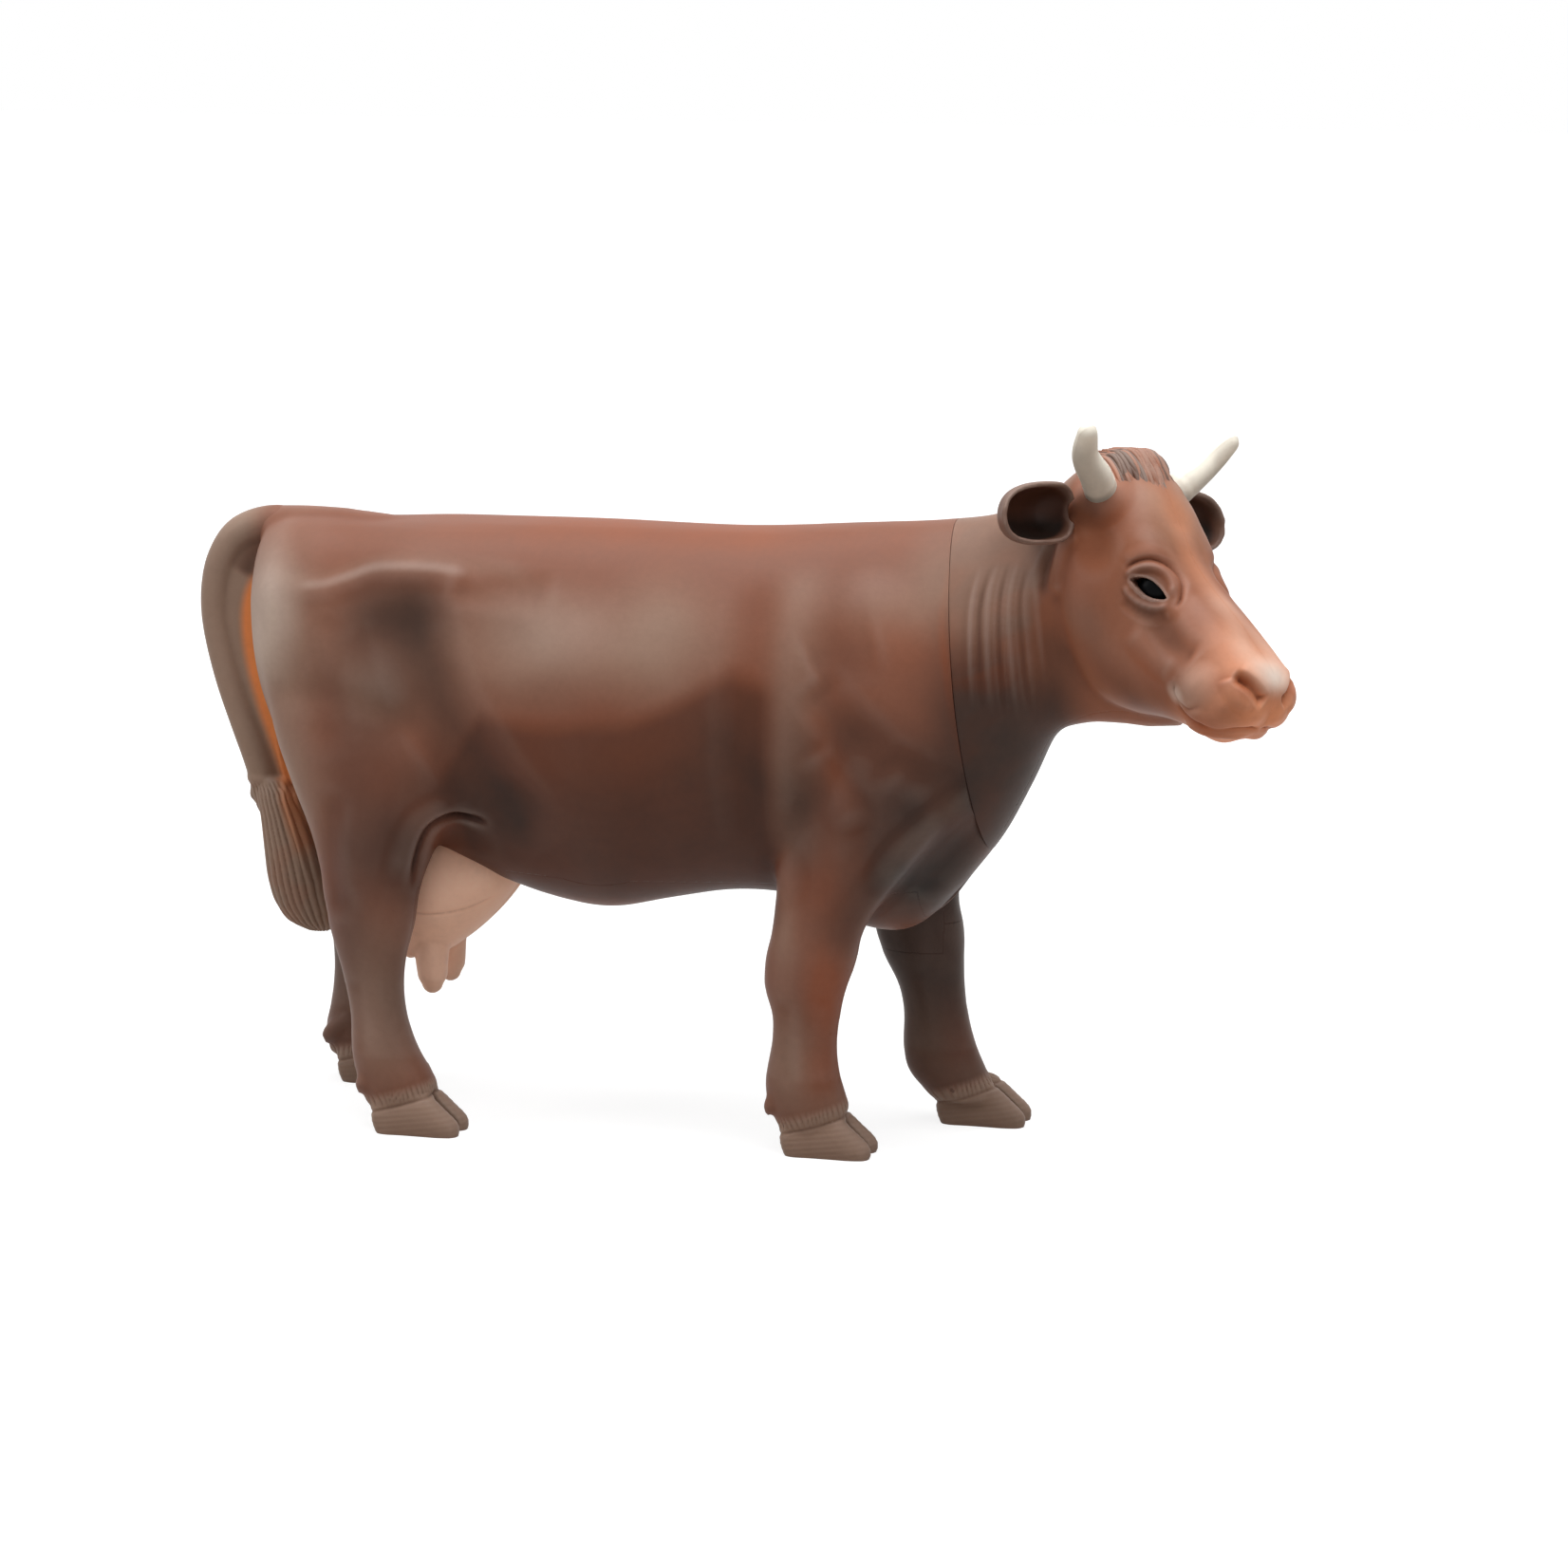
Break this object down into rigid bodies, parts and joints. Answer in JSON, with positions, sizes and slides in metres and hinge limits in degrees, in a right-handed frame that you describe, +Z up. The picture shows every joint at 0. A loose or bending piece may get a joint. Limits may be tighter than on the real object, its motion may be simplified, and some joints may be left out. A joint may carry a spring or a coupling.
{
  "type": "toy farm animal figure",
  "caption": "Standing horned cow figure in moulded plastic, with udder, cloven hooves and a tail joined to the rump; the head turns on a collar at the neck seam.",
  "frame": {"origin": "on the standing surface, under the centre of the figure's box", "axes": "+X from the tail towards the head along the body, +Y to the cow's left, +Z up"},
  "size_m": [0.192, 0.0554, 0.1234],
  "materials": {
    "hide": "satin, sprayed in browns",
    "belly": "satin",
    "face": "satin, paler at the muzzle",
    "udder": "satin",
    "horn": "satin",
    "eye": "gloss",
    "swivel": "satin"
  },
  "bodies": {
    "body": {"body_shell_right": "hide", "body_shell_left": "hide", "belly_pan": "belly", "inner_leg_right_fore": "belly", "inner_leg_left_fore": "belly", "inner_leg_right_hind": "belly", "inner_leg_left_hind": "belly", "udder": "udder", "tail": "hide"},
    "head": {"neck_swivel": "swivel", "head_shell_right": "face", "head_shell_left": "face", "horn_right": "horn", "horn_left": "horn", "ear_right": "hide", "ear_left": "hide", "eye_right": "eye", "eye_left": "eye", "poll_tuft": "face"}
  },
  "joints": [
    {"name": "head_turn", "type": "hinge", "parent": "body", "child": "head", "pos_m": [0.04023, 0.00473, 0.07802], "axis": [0.9932, 0, 0.1167], "range_deg": [-25, 25]}
  ]
}
